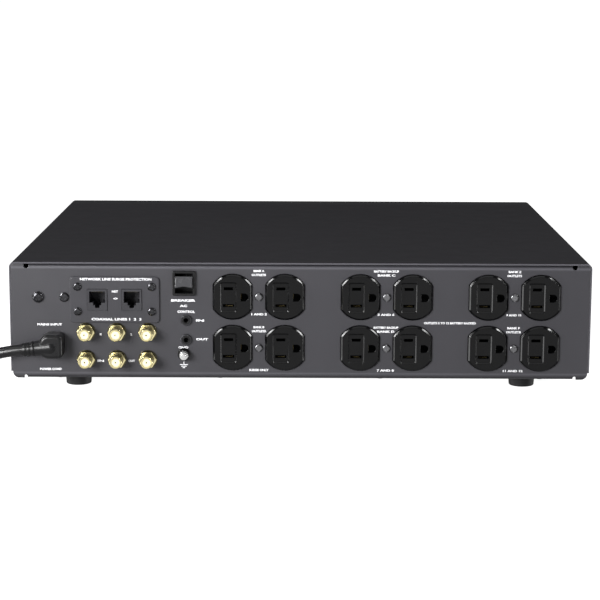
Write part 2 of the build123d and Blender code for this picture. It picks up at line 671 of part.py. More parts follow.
def plug_pins():
    """Two flat blades and a round ground pin."""
    y0, y1 = PLUG_REAR_Y - PLUG_LENGTH, PLUG_REAR_Y - PLUG_LENGTH - 17.0
    pins = []
    for side in (-1, 1):
        x = PLUG_X + side * BLADE_Z
        pins.append(block(x - 0.75, x + 0.75, y0, y1, PLUG_AXIS_Z + 1.0, PLUG_AXIS_Z + 7.4))
    ground = rod("Y", PLUG_X, PLUG_AXIS_Z - 7.7, y0, y1 - 3.5, 2.4)
    return pins + [fillet(ground.edges().group_by(Axis.Y)[0], 1.6)]


# ---------------------------------------------------------------- front
def bezel():
    """Moulded front: a shallow open-backed box with openings for drawer, display and buttons."""
    wall = 2.6
    shell = block(-HALF_W, HALF_W, FRONT_Y, BEZEL_BACK, BASE_Z, TOP_Z)
    shell = fillet(shell.edges().filter_by(Axis.Y), BEND_R)
    shell = fillet(shell.edges().group_by(Axis.Y)[0], 2.4)
    room = block(
        -HALF_W + wall, HALF_W - wall, FRONT_Y + wall, BEZEL_BACK + 1,
        BASE_Z + wall, TOP_Z - wall,
    )
    shell -= fillet(room.edges().filter_by(Axis.Y), BEND_R - 2)
    for x in (-HALF_W + 7, HALF_W - 7):
        for z in (BASE_Z + 7, TOP_Z - 7):
            shell += rod("Y", x, z, FRONT_Y + 1, BEZEL_BACK, 3.6)
    for x in (DISPLAY_X - 72, DISPLAY_X + 64):
        for z in (BASE_Z + 16, BASE_Z + 74):
            shell += rod("Y", x, z, FRONT_Y + 1, BOARD_Y, 2.6)
    shell += rod("Y", POWER_X, DISPLAY_Z, FRONT_Y + 1, FRONT_Y + 8.5, 11.0)
    shell -= rod("Y", POWER_X, DISPLAY_Z, FRONT_Y + 2.8, FRONT_Y + 10, 9.6)
    shell -= rod("Y", POWER_X, DISPLAY_Z, FRONT_Y - 1, FRONT_Y + 4, 8.2)
    for z in MENU_ROWS:
        shell -= front_pad(MENU_X, z, 15.2, 9.2, FRONT_Y - 1, FRONT_Y + 4, 3.0)
    for z in light_rows():
        shell -= rod("Y", LIGHT_X, z, FRONT_Y - 1, FRONT_Y + 4, 1.6)
    half_w, half_h = DRAWER_FRONT_W / 2 + 0.6, DRAWER_FRONT_H / 2 + 0.6
    shell -= front_pad(DRAWER_X, DRAWER_Z, 2 * half_w, 2 * half_h, FRONT_Y - 1, FRONT_Y + 9, 3.0)
    shell -= front_pad(DISPLAY_X, DISPLAY_Z, DISPLAY_W, DISPLAY_H, FRONT_Y - 1, FRONT_Y + 1.6, 4.0)
    shell -= front_pad(
        DISPLAY_X, DISPLAY_Z, DISPLAY_W - 10, DISPLAY_H - 8, FRONT_Y - 1, FRONT_Y + 4, 2.0
    )
    for x in (-HALF_W + 7, HALF_W - 7):
        for z in (BASE_Z + 7, TOP_Z - 7):
            shell -= rod("Y", x, z, BEZEL_BACK - 9, BEZEL_BACK + 1, 1.45)
    return shell


LIGHT_X = -160.0


def light_rows():
    """Heights of the three indicator light pipes."""
    return (DISPLAY_Z + 14, DISPLAY_Z, DISPLAY_Z - 14)


def front_pad(x, z, width, height, y0, y1, radius):
    """Rounded block square to the front; z here is the true height."""
    pad = block(x - width / 2, x + width / 2, y0, y1, z - height / 2, z + height / 2)
    return fillet(pad.edges().filter_by(Axis.Y), radius)


def bezel_screws():
    """Four screws from behind the front wall into the bezel."""
    return [
        rod("Y", x, z, BEZEL_BACK + SHEET, BEZEL_BACK + SHEET + 2.0, 2.8)
        + rod("Y", x, z, BEZEL_BACK - 8, BEZEL_BACK + SHEET, 1.42)
        for x in (-HALF_W + 7, HALF_W - 7) for z in (BASE_Z + 7, TOP_Z - 7)
    ]


def display_window():
    """Smoked window over the display."""
    pane = front_pad(
        DISPLAY_X, DISPLAY_Z, DISPLAY_W - 0.4, DISPLAY_H - 0.4, FRONT_Y - 0.2, FRONT_Y + 1.6, 3.8
    )
    pane = fillet(pane.edges().group_by(Axis.Y)[0], 0.3)
    return pane


def display_module():
    """Liquid-crystal module with its frame, standing on the control board."""
    frame = front_pad(DISPLAY_X, DISPLAY_Z, 104, 36, FRONT_Y + 3.2, BOARD_Y, 1.0)
    return frame - front_pad(DISPLAY_X, DISPLAY_Z, 92, 28, FRONT_Y + 3, FRONT_Y + 4.0, 0.5)


def control_board():
    """Control board behind the bezel with the three key switches."""
    board = block(-196, -4, BOARD_Y, BOARD_Y + 1.6, BASE_Z + 12, BASE_Z + 78)
    for x, z in [(POWER_X, DISPLAY_Z)] + [(MENU_X, z) for z in MENU_ROWS]:
        board += block(x - 3.5, x + 3.5, BOARD_Y - 3.4, BOARD_Y, z - 3.5, z + 3.5)
    for i in range(4):
        x = -170 + 38 * i
        board += block(x, x + 16, BOARD_Y + 1.6, BOARD_Y + 4.0, BASE_Z + 30, BASE_Z + 46)
    return board


def light_pipes():
    """Three clear indicator light pipes."""
    return [rod("Y", LIGHT_X, z, FRONT_Y - 0.3, BOARD_Y, 1.55) for z in light_rows()]


KEY_TRAVEL = 1.6


def power_button():
    """Round power button with its collar and plunger."""
    cap = rod("Y", POWER_X, DISPLAY_Z, FRONT_Y - 1.0, FRONT_Y + 4.4, 7.8)
    cap = fillet(cap.edges().group_by(Axis.Y)[0], 0.7)
    cap += rod("Y", POWER_X, DISPLAY_Z, FRONT_Y + 3.0, FRONT_Y + 4.6, 9.1)
    return cap + rod("Y", POWER_X, DISPLAY_Z, FRONT_Y + 4.6, BOARD_Y - 3.4 - KEY_TRAVEL - 0.2, 2.4)


def menu_button(z):
    """Small oblong key with its collar and plunger."""
    cap = front_pad(MENU_X, z, 14.4, 8.4, FRONT_Y - 0.9, FRONT_Y + 4.4, 2.6)
    cap = fillet(cap.edges().group_by(Axis.Y)[0], 0.6)
    cap += front_pad(MENU_X, z, 16.4, 10.4, FRONT_Y + 3.0, FRONT_Y + 4.6, 1.0)
    return cap + rod("Y", MENU_X, z, FRONT_Y + 4.6, BOARD_Y - 3.4 - KEY_TRAVEL - 0.2, 2.2)


# ---------------------------------------------------------------- battery drawer
def drawer_front():
    """Drawer front with its moulded pull, ribs and the bearings of the two thumbscrews."""
    y0, y1 = FRONT_Y - 0.6, FRONT_Y + DRAWER_FRONT_T
    front = front_pad(DRAWER_X, DRAWER_Z, DRAWER_FRONT_W, DRAWER_FRONT_H, y0, y1, 2.6)
    front = fillet(front.edges().group_by(Axis.Y)[0], 0.6)
    grip = front_pad(DRAWER_X, DRAWER_Z, 120, 20, FRONT_Y - 11.0, FRONT_Y, 6.0)
    grip = fillet(grip.edges().group_by(Axis.Y)[0], 3.0)
    grip -= block(DRAWER_X - 52, DRAWER_X + 52, FRONT_Y - 8.0, FRONT_Y - 0.6,
                  DRAWER_Z - 20, DRAWER_Z + 5.5)
    front += grip
    for z in (DRAWER_Z + 22, DRAWER_Z - 22):
        for dz in (-6, -2, 2, 6):
            front -= front_pad(DRAWER_X, z + dz, 130, 1.8, y0 - 1, y0 + 1.0, 0.85)
    for side in (-1, 1):
        x = DRAWER_X + side * THUMB_DX
        front += rod("Y", x, DRAWER_Z, y1, y1 + 6, 4.2)
        front -= rod("Y", x, DRAWER_Z, y0 - 1, y1 + 9, 2.06)
    return front


def battery_tray():
    """Folded sheet tray that carries the two battery blocks."""
    y0, y1 = FRONT_Y + DRAWER_FRONT_T, TRAY_END_Y
    half = TRAY_W / 2
    z0 = TRAY_BASE_Z
    tray = block(DRAWER_X - half, DRAWER_X + half, y0, y1, z0, z0 + 34)
    tray -= block(DRAWER_X - half + SHEET, DRAWER_X + half - SHEET, y0 + SHEET, y1 - SHEET,
                  z0 + SHEET, z0 + 40)
    tray -= block(DRAWER_X - 30, DRAWER_X + 30, y1 - 3, y1 + 3, z0 + 14, z0 + 40)
    for i in range(4):
        for side in (-1, 1):
            y = y0 + 32 + 44 * i
            hole = block(side * 38 + DRAWER_X - 22, side * 38 + DRAWER_X + 22, y, y + 20, z0 - 1, z0 + 3)
            tray -= fillet(hole.edges().filter_by(Axis.Z), 5)
    return tray


def battery_span(index):
    """Start and end along Y of a battery block's case."""
    start = FRONT_Y + DRAWER_FRONT_T + SHEET + 3.0 + index * (BATTERY[1] + TERMINAL_H + 1.0)
    return start, start + BATTERY[1]


def battery(index):
    """Sealed lead-acid block lying on its side, its terminal end towards the rear."""
    y0, y1 = battery_span(index)
    z0 = TRAY_BASE_Z + SHEET
    case = block(DRAWER_X - BATTERY[0] / 2, DRAWER_X + BATTERY[0] / 2, y0, y1, z0, z0 + BATTERY[2])
    case = fillet(case.edges().filter_by(Axis.Y), 2.0)
    lid = block(DRAWER_X - BATTERY[0] / 2, DRAWER_X + BATTERY[0] / 2, y1 - 14, y1 - 13,
                z0, z0 + BATTERY[2])
    inner = block(DRAWER_X - BATTERY[0] / 2 + 0.8, DRAWER_X + BATTERY[0] / 2 - 0.8, y1 - 15, y1 - 12,
                  z0 + 0.8, z0 + BATTERY[2] - 0.8)
    return case - (lid - inner)


def battery_terminals():
    """Spade terminals of both blocks and the link between them."""
    pieces = []
    z0 = TRAY_BASE_Z + SHEET
    for index in (0, 1):
        _, y1 = battery_span(index)
        for side in (-1, 1):
            x = DRAWER_X + side * 60
            pieces.append(block(x - 3.2, x + 3.2, y1, y1 + 5.2, z0 + 50, z0 + 50.8)
                          + block(x - 4.5, x + 4.5, y1, y1 + 1.0, z0 + 45, z0 + 56))
    return pieces


def drawer_connector():
    """Blind-mate power plug on the tray's rear edge."""
    y1 = TRAY_END_Y
    z0 = TRAY_BASE_Z + SHEET
    body = block(DRAWER_X - 18, DRAWER_X + 18, y1 - SHEET - 5, y1 + 6, z0 + 22, z0 + 40)
    for side in (-1, 1):
        body -= block(DRAWER_X + side * 9 - 4, DRAWER_X + side * 9 + 4, y1 - 4, y1 + 7, z0 + 27, z0 + 35)
    foot = block(DRAWER_X - 24, DRAWER_X + 24, y1 - SHEET - 3, y1 - SHEET, z0 + 8, z0 + 26)
    return body + foot


def bay_connector():
    """Fixed half of the blind-mate plug in the bay's rear wall."""
    y1 = TRAY_END_Y
    z0 = TRAY_BASE_Z + SHEET
    body = block(DRAWER_X - 26, DRAWER_X + 26, y1 + 9.5, y1 + 12.8, z0 + 14, z0 + 48)
    body += block(DRAWER_X - 18, DRAWER_X + 18, y1 + 12.8, y1 + 24, z0 + 22, z0 + 40)
    for side in (-1, 1):
        x = DRAWER_X + side * 9
        body += block(x - 3.2, x + 3.2, y1 - 1.0, y1 + 10, z0 + 28, z0 + 34)
    return body


def thumbscrew(side):
    """Captive knurled thumbscrew of the drawer."""
    x = DRAWER_X + side * THUMB_DX
    y = FRONT_Y - 0.9
    head = fluted("Y", x, DRAWER_Z, y - 8.5, y, 5.4, 24, 0.35)
    head -= block(x - 5.6, x + 5.6, y - 9, y - 6.8, DRAWER_Z - 0.7, DRAWER_Z + 0.7)
    collar = rod("Y", x, DRAWER_Z, FRONT_Y + 10.4, FRONT_Y + 12.4, 3.4)
    return head + rod("Y", x, DRAWER_Z, y, BEZEL_BACK + 8, 2.0) + collar


# ---------------------------------------------------------------- power electronics
def transformer_core():
    """Laminated E-I core with two foot brackets."""
    x0, x1, y0, y1 = 48.0, 152.0, 84.0, 128.0
    z0 = BASE_Z + SHEET + 1.6
    core = block(x0, x1, y0, y1, z0, z0 + 80)
    for side in (-1, 1):
        x = (x0 + x1) / 2 + side * 26
        core -= block(x - 9, x + 9, y0 - 1, y1 + 1, z0 + 16, z0 + 64)
    feet = block(x0 - 12, x1 + 12, y0 + 6, y1 - 6, z0 - 1.6, z0)
    return core + feet


def transformer_coil():
    """Taped winding around the core's middle limb."""
    x, z0 = 100.0, BASE_Z + SHEET + 1.6
    coil = block(x - 34.6, x + 34.6, 66, 146, z0 + 16.4, z0 + 63.6)
    coil = fillet(coil.edges().filter_by(Axis.Z), 12)
    return coil - block(x - 17.2, x + 17.2, 83.8, 128.2, z0, z0 + 80)


BOARD_X0, BOARD_X1, BOARD_Y0, BOARD_Y1 = -180.0, 20.0, -146.0, 148.0
BOARD_Z = BASE_Z + SHEET + 7.0


def main_board():
    """Inverter and charger board on its standoffs."""
    board = block(BOARD_X0, BOARD_X1, BOARD_Y0, BOARD_Y1, BOARD_Z, BOARD_Z + 1.6)
    for x in (BOARD_X0 + 6, -80, BOARD_X1 - 6):
        for y in (BOARD_Y0 + 6, 0, BOARD_Y1 - 6):
            board += rod("Z", x, y, BASE_Z + SHEET, BOARD_Z, 3.0)
    return board


def heatsinks():
    """Two finned aluminium heatsinks standing on the board."""
    sinks = []
    z0 = BOARD_Z + 1.6
    for x in (-140.0, -70.0):
        sink = block(x - 2, x + 2, -90, 30, z0, z0 + 58)
        for i in range(8):
            sink += block(x - 15, x + 15, -90 + 16.8 * i, -87.6 + 16.8 * i, z0 + 6, z0 + 58)
        sinks.append(sink)
    return sinks


def power_transistors():
    """Row of power transistors clamped on the heatsinks' free bays."""
    pieces = []
    z0 = BOARD_Z + 1.6
    for x in (-140.0, -70.0):
        for i in range(7):
            y = -82 + 16.8 * i
            body = block(x + 2, x + 6.6, y - 4.5, y + 4.5, z0 + 8, z0 + 24)
            for dy in (-2.5, 0, 2.5):
                body += block(x + 3.6, x + 4.4, y + dy - 0.4, y + dy + 0.4, z0, z0 + 8)
            pieces.append(body)
    return pieces


def capacitors():
    """Upright electrolytic capacitors."""
    places = [(-165 + 28 * i, -120, 11.0, 42) for i in range(4)]
    places += [(-36 + 24 * i, -60, 9.0, 36) for i in range(2)]
    places += [(-36 + 24 * i, -36, 9.0, 36) for i in range(2)]
    cans = []
    for x, y, r, h in places:
        can = rod("Z", x, y, BOARD_Z + 1.6, BOARD_Z + 1.6 + h, r)
        can = fillet(can.edges().group_by(Axis.Z)[-1], 1.2)
        cans.append(can - rod("Z", x, y, BOARD_Z + h + 0.8, BOARD_Z + h + 4, r * 0.72))
    return cans


def relays():
    """Transfer relays."""
    z0 = BOARD_Z + 1.6
    return [
        fillet(block(x - 9, x + 9, y - 14, y + 14, z0, z0 + 26).edges().group_by(Axis.Z)[-1], 1.0)
        for x in (-160, -128, -96, -64) for y in (120,)
    ]


def line_choke():
    """Ring core of the mains filter, lying on the board."""
    z0 = BOARD_Z + 1.6
    ring = rod("Z", -20, 40, z0, z0 + 20, 22) - rod("Z", -20, 40, z0 - 1, z0 + 21, 10)
    return fillet(ring.edges(), 3.0)


def fan_frame():
    """Square frame of the cooling fan with four struts and the fixed spindle."""
    x0, x1 = FAN_X, FAN_X + FAN_DEPTH
    half = FAN_SIZE / 2
    frame = block(x0, x1, FAN_Y - half, FAN_Y + half, FAN_Z - half, FAN_Z + half)
    frame = fillet(frame.edges().filter_by(Axis.X), 3)
    frame -= rod("X", FAN_Y, FAN_Z, x0 - 1, x1 + 1, 28.4)
    frame += rod("X", FAN_Y, FAN_Z, x1 - 4, x1, 12.0)
    for i in range(4):
        strut = Pos(x1 - 2, FAN_Y, FAN_Z) * Rot(45 + 90 * i, 0, 0) * Pos(0, 20, 0) * Box(4, 18, 2.4)
        frame += strut
    for dy in (-25, 25):
        for dz in (-25, 25):
            frame -= rod("X", FAN_Y + dy, FAN_Z + dz, x0 - 1, x1 + 1, 2.2)
    return frame + rod("X", FAN_Y, FAN_Z, x0 + 4, x1 - 3, 1.5)


def fan_rotor():
    """Hub with seven skewed blades."""
    x0, x1 = FAN_X, FAN_X + FAN_DEPTH
    rotor = rod("X", FAN_Y, FAN_Z, x0 + 2, x1 - 4.6, 12.0)
    for i in range(7):
        blade = Pos((x0 + x1) / 2 - 2, FAN_Y, FAN_Z) * Rot(360 / 7 * i, 0, 0)
        blade = blade * Pos(0, 18.6, 0) * Rot(0, 38, 0) * Box(1.6, 16.0, 17.0)
        rotor += blade & rod("X", FAN_Y, FAN_Z, x0 + 2, x1 - 4.6, 26.8)
    return rotor - rod("X", FAN_Y, FAN_Z, x0, x1 - 3, 1.56)


def wires():
    """Internal leads: battery pair, outlet feed pairs, and the display ribbon."""
    leads = []
    z = TRAY_BASE_Z + SHEET + 31
    for side in (-1, 1):
        x = DRAWER_X + side * 9
        y = TRAY_END_Y + 34
        route = [(x, TRAY_END_Y + 24, z), (x, y, z), (x - 24, y, z + 30),
                 (DRAWER_X - 104 + 9 * side, y, z + 30), (DRAWER_X - 104 + 9 * side, y, BOARD_Z + 1.6)]
        path = FilletPolyline(*[Vector(*p) for p in route], radius=5)
        leads.append(sweep(Plane(origin=path @ 0, z_dir=path % 0) * Circle(2.4), path))
    leads.append(block(-34, -14, BOARD_Y + 1.6, BOARD_Y0 + 10, BASE_Z + 42.0, BASE_Z + 42.8)
                 + block(-34, -14, BOARD_Y0 + 9, BOARD_Y0 + 10, BOARD_Z + 1.6, BASE_Z + 42.8))
    return leads


# ---------------------------------------------------------------- nodes
def nodes():
    """Every named piece of the assembly, as a solid or a list of solids."""
    pieces = {
        "base_pan": base_pan(),
        "rear_panel": rear_panel(),
        "top_cover": top_cover(),
        "front_wall": front_subpanel(),
        "battery_bay_cage": bay_cage(),
        "bezel": bezel(),
        "rubber_feet": rubber_feet(),
        "foot_screws": foot_screws(),
        "case_screws": case_screws() + bezel_screws(),
        "receptacles": [receptacle(x, z) for x, z in outlet_centres()],
        "receptacle_straps": receptacle_straps(),
        "receptacle_contacts": receptacle_contacts(),
        "receptacle_screws": receptacle_screws(),
        "breaker_body": breaker_body(),
        "breaker_rocker": breaker_rocker(),
        "trigger_jacks": trigger_jacks(),
        "trigger_jack_nuts": trigger_jack_nuts(),
        "ground_stud": ground_stud(),
        "ground_nut": ground_nut(),
        "coax_connectors": coax_connectors(),
        "coax_nuts": coax_nuts(),
        "coax_insulators": coax_insulators(),
        "network_plate": network_plate(),
        "network_plate_screws": network_plate_screws(),
        "network_jacks": network_jacks(),
        "network_contacts": network_contacts(),
        "panel_screws": panel_screws(),
        "surge_board": surge_board(),
        "strain_relief": strain_relief(),
        "power_cord": power_cord(),
        "cord_coil": cord_coil(),
        "plug_body": plug_body(),
        "plug_pins": plug_pins(),
        "display_window": display_window(),
        "display_module": display_module(),
        "control_board": control_board(),
        "light_pipes": light_pipes(),
        "power_button": power_button(),
        "menu_button_up": menu_button(MENU_ROWS[0]),
        "menu_button_down": menu_button(MENU_ROWS[1]),
        "drawer_front": drawer_front(),
        "battery_tray": battery_tray(),
        "battery_front": battery(0),
        "battery_rear": battery(1),
        "battery_terminals": battery_terminals(),
        "drawer_connector": drawer_connector(),
        "bay_connector": bay_connector(),
        "thumbscrew_left": thumbscrew(-1),
        "thumbscrew_right": thumbscrew(1),
        "transformer_core": transformer_core(),
        "transformer_coil": transformer_coil(),
        "main_board": main_board(),
        "heatsinks": heatsinks(),
        "power_transistors": power_transistors(),
        "capacitors": capacitors(),
        "relays": relays(),
        "line_choke": line_choke(),
        "fan_frame": fan_frame(),
        "fan_rotor": fan_rotor(),
        "wires": wires(),
    }
    return pieces


def save(name, shape):
    """Writes one piece, or a group of separate solids, as parts/name.step."""
    solids = []
    for item in shape if isinstance(shape, (list, tuple)) else [shape]:
        solids += item.solids()
    whole = solids[0] if len(solids) == 1 else Compound(solids)
    export_step(whole, "parts/" + name + ".step")
    box = whole.bounding_box()
    print(f"{name:24s} {len(solids):3d} x {box.min.X:8.1f} {box.max.X:8.1f}"
          f" y {box.min.Y:8.1f} {box.max.Y:8.1f} z {box.min.Z:7.1f} {box.max.Z:7.1f}")


os.makedirs("parts", exist_ok=True)
for piece_name, piece in nodes().items():
    save(piece_name, piece)
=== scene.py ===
"""Looks for the rack-width battery backup: camera, light, cord, print and materials."""

from math import cos, pi, radians, sin, tan

import bmesh
import bpy
from mathutils import Matrix, Vector


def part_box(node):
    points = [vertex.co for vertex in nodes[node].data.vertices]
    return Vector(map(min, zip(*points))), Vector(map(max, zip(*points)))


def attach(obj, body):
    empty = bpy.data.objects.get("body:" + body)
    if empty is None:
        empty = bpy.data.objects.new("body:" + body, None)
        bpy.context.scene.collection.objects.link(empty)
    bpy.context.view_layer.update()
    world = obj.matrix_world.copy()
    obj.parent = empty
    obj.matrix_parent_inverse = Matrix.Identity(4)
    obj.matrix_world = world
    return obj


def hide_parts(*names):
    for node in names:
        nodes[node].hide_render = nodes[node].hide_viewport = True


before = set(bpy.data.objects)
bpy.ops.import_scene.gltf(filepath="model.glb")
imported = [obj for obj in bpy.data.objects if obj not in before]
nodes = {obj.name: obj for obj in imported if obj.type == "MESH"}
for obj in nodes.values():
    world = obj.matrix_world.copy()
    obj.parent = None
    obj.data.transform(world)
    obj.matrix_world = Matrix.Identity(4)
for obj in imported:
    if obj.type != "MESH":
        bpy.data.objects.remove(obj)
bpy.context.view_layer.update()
scene = bpy.context.scene
MM = 0.001

# ------------------------------------------------------------------ the object's main places
panel_lo, panel_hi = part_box("rear_panel")
REAR = panel_hi.y
BASE = panel_lo.z


def at(x, z, out=0.0):
    """A point on the rear panel: x and z in mm from the middle and the case's underside."""
    return Vector((x * MM, REAR + out * MM, BASE + z * MM))


# ------------------------------------------------------------------ camera
LENS, SENSOR = 108.24, 36.0
CAMERA_AT = (1.27, 296.6, 1318.1)  # x, z and distance behind the rear panel, in mm
PITCH, YAW, ROLL = 0.177766, -0.000681, 0.004245


def make_camera():
    data = bpy.data.cameras.new("camera")
    data.lens = LENS
    data.sensor_width = SENSOR
    data.clip_start, data.clip_end = 0.05, 60.0
    camera = bpy.data.objects.new("camera", data)
    scene.collection.objects.link(camera)
    look = Vector((sin(YAW) * cos(PITCH), -cos(YAW) * cos(PITCH), -sin(PITCH)))
    right = look.cross(Vector((0, 0, 1))).normalized()
    up = right.cross(look)
    right, up = cos(ROLL) * right + sin(ROLL) * up, -sin(ROLL) * right + cos(ROLL) * up
    turn = Matrix((right, up, -look)).transposed().to_4x4()
    camera.matrix_world = Matrix.Translation(at(*CAMERA_AT)) @ turn
    scene.camera = camera


make_camera()

# ------------------------------------------------------------------ cord
CORD_D = 8.4
CORD_R = CORD_D / 2
LEAD = (184.6, REAR / MM + 10.0, BASE / MM + 25.3)
SLEEVE, TILT = 21.0, radians(5.5)
EXIT = (LEAD[0] + SLEEVE * cos(TILT), LEAD[1], LEAD[2] - SLEEVE * sin(TILT))
COIL = (311.0, 112.0)
COIL_R = 49.0
COIL_START, COIL_TURN = 68, 1868  # where the coil starts and how far it turns, in degrees
FLOOR_Z = CORD_R + 0.05
SECOND_Z = FLOOR_Z + CORD_D
PLUG = (COIL[0] + COIL_R + CORD_D, COIL[1] - 57.0, 10.4)
NECK = 18.0


def coil_points(step=20.0):
    """Control points of the turns: under three below going in, over two above going out."""
    inner, middle, outer = COIL_R - CORD_D, COIL_R, COIL_R + CORD_D
    # travelled angle, radius, height at the ends of each stretch; between them both are blended
    stretches = [
        (0, outer, FLOOR_Z), (300, outer, FLOOR_Z), (360, middle, FLOOR_Z),
        (660, middle, FLOOR_Z), (720, inner, FLOOR_Z), (960, inner, FLOOR_Z),
        (1020, inner, SECOND_Z), (1260, inner, SECOND_Z), (1320, middle, SECOND_Z),
        (1620, middle, SECOND_Z), (1680, outer, SECOND_Z), (COIL_TURN, outer, SECOND_Z),
    ]
    push = 1 / (0.5 + 0.5 * cos(radians(step / 2)))
    points = []
    travelled = step
    while travelled < COIL_TURN - step * 0.4:
        for (a0, r0, z0), (a1, r1, z1) in zip(stretches, stretches[1:]):
            if a0 <= travelled <= a1:
                t = (travelled - a0) / (a1 - a0)
                t = t * t * (3 - 2 * t)
                radius, z = r0 + (r1 - r0) * t, z0 + (z1 - z0) * t
                break
        angle = radians(COIL_START - travelled)
        reach = radius * push
        points.append((COIL[0] + reach * cos(angle), COIL[1] + reach * sin(angle), z))
        travelled += step
    return points


def cord_route():
    route = [
        EXIT,
        (EXIT[0] + 7.5, EXIT[1], EXIT[2] - 7.5 * tan(TILT)),
        (228.0, EXIT[1] - 0.4, 31.6),
        (246.0, 194.0, 21.2),
        (266.0, 190.0, 9.6),
        (290.0, 182.4, FLOOR_Z),
        (332.5, 165.2, FLOOR_Z),
    ]
    route += coil_points()
    route += [
        (PLUG[0], COIL[1] - 4.0, SECOND_Z - 0.1),
        (PLUG[0], PLUG[1] + NECK + 17.0, SECOND_Z - 1.4),
        (PLUG[0], PLUG[1] + NECK + 6.0, PLUG[2]),
        (PLUG[0], PLUG[1] + NECK - 4.0, PLUG[2]),
    ]
    return [Vector(p) * MM for p in route]


def make_cord():
    curve = bpy.data.curves.new("mains_lead", "CURVE")
    curve.dimensions = "3D"
    curve.bevel_depth = 1.0
    curve.bevel_resolution = 6
    curve.use_fill_caps = True
    curve.resolution_u = 6
    points = cord_route()
    spline = curve.splines.new("NURBS")
    spline.points.add(len(points) - 1)
    for slot, point in zip(spline.points, points):
        slot.co = (*point, 1.0)
        slot.radius = CORD_R * MM
    spline.order_u = 3
    spline.use_endpoint_u = True
    cord = bpy.data.objects.new("mains_lead", curve)
    scene.collection.objects.link(cord)
    return cord, points


def link(name, bm, smooth=False):
    """Turns a bmesh into a piece in the row frame."""
    mesh = bpy.data.meshes.new(name)
    bm.to_mesh(mesh)
    bm.free()
    for polygon in mesh.polygons:
        polygon.use_smooth = smooth
    piece = bpy.data.objects.new(name, mesh)
    scene.collection.objects.link(piece)
    return piece


def cord_tie():
    """Hook-and-loop strap round the coil's turns."""
    bm = bmesh.new()
    half, hem, thick, thin, round_r = 8.0, 0.6, 0.55, 0.35, 4
    inner, outer = COIL_R - 1.5 * CORD_D, COIL_R + 1.5 * CORD_D
    low, high = 0.6, 2 * CORD_D - 0.6
    # rounded loop in the plane through the coil's axis, on its -X side
    loop = []
    left, right, bottom, top = inner + round_r, outer - round_r, low + round_r, high - round_r
    corners = ((right, top, 0), (left, top, 90), (left, bottom, 180), (right, bottom, 270))
    for cx, cz, start in corners:
        for i in range(7):
            a = radians(start + 15 * i)
            loop.append((cx + round_r * cos(a), cz + round_r * sin(a), cos(a), sin(a)))
    rings = []
    for y in (-half, -half + hem, half - hem, half):
        grow = thin if abs(y) == half else thick
        outside = [bm.verts.new(Vector((COIL[0] - r - grow * n, COIL[1] + y, z + grow * m)) * MM)
                   for r, z, n, m in loop]
        rings.append(outside)
    for first, second in zip(rings, rings[1:]):
        for i in range(len(loop)):
            j = (i + 1) % len(loop)
            bm.faces.new((first[i], first[j], second[j], second[i]))
    inside = [[bm.verts.new(Vector((COIL[0] - r, COIL[1] + y, z)) * MM) for r, z, n, m in loop]
              for y in (-half, half)]
    for i in range(len(loop)):
        j = (i + 1) % len(loop)
        bm.faces.new((inside[0][j], inside[0][i], inside[1][i], inside[1][j]))
        bm.faces.new((inside[0][i], inside[0][j], rings[0][j], rings[0][i]))
        bm.faces.new((inside[1][j], inside[1][i], rings[-1][i], rings[-1][j]))
    bmesh.ops.recalc_face_normals(bm, faces=bm.faces[:])
    return link("cord_tie", bm, smooth=True)


cord, cord_points = make_cord()
tie = cord_tie()
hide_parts("power_cord", "cord_coil")
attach(cord, "unit")
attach(tie, "unit")


# ------------------------------------------------------------------ materials
WAVE_REPEAT = 0.314159  # distance between a wave texture's bands at scale 1


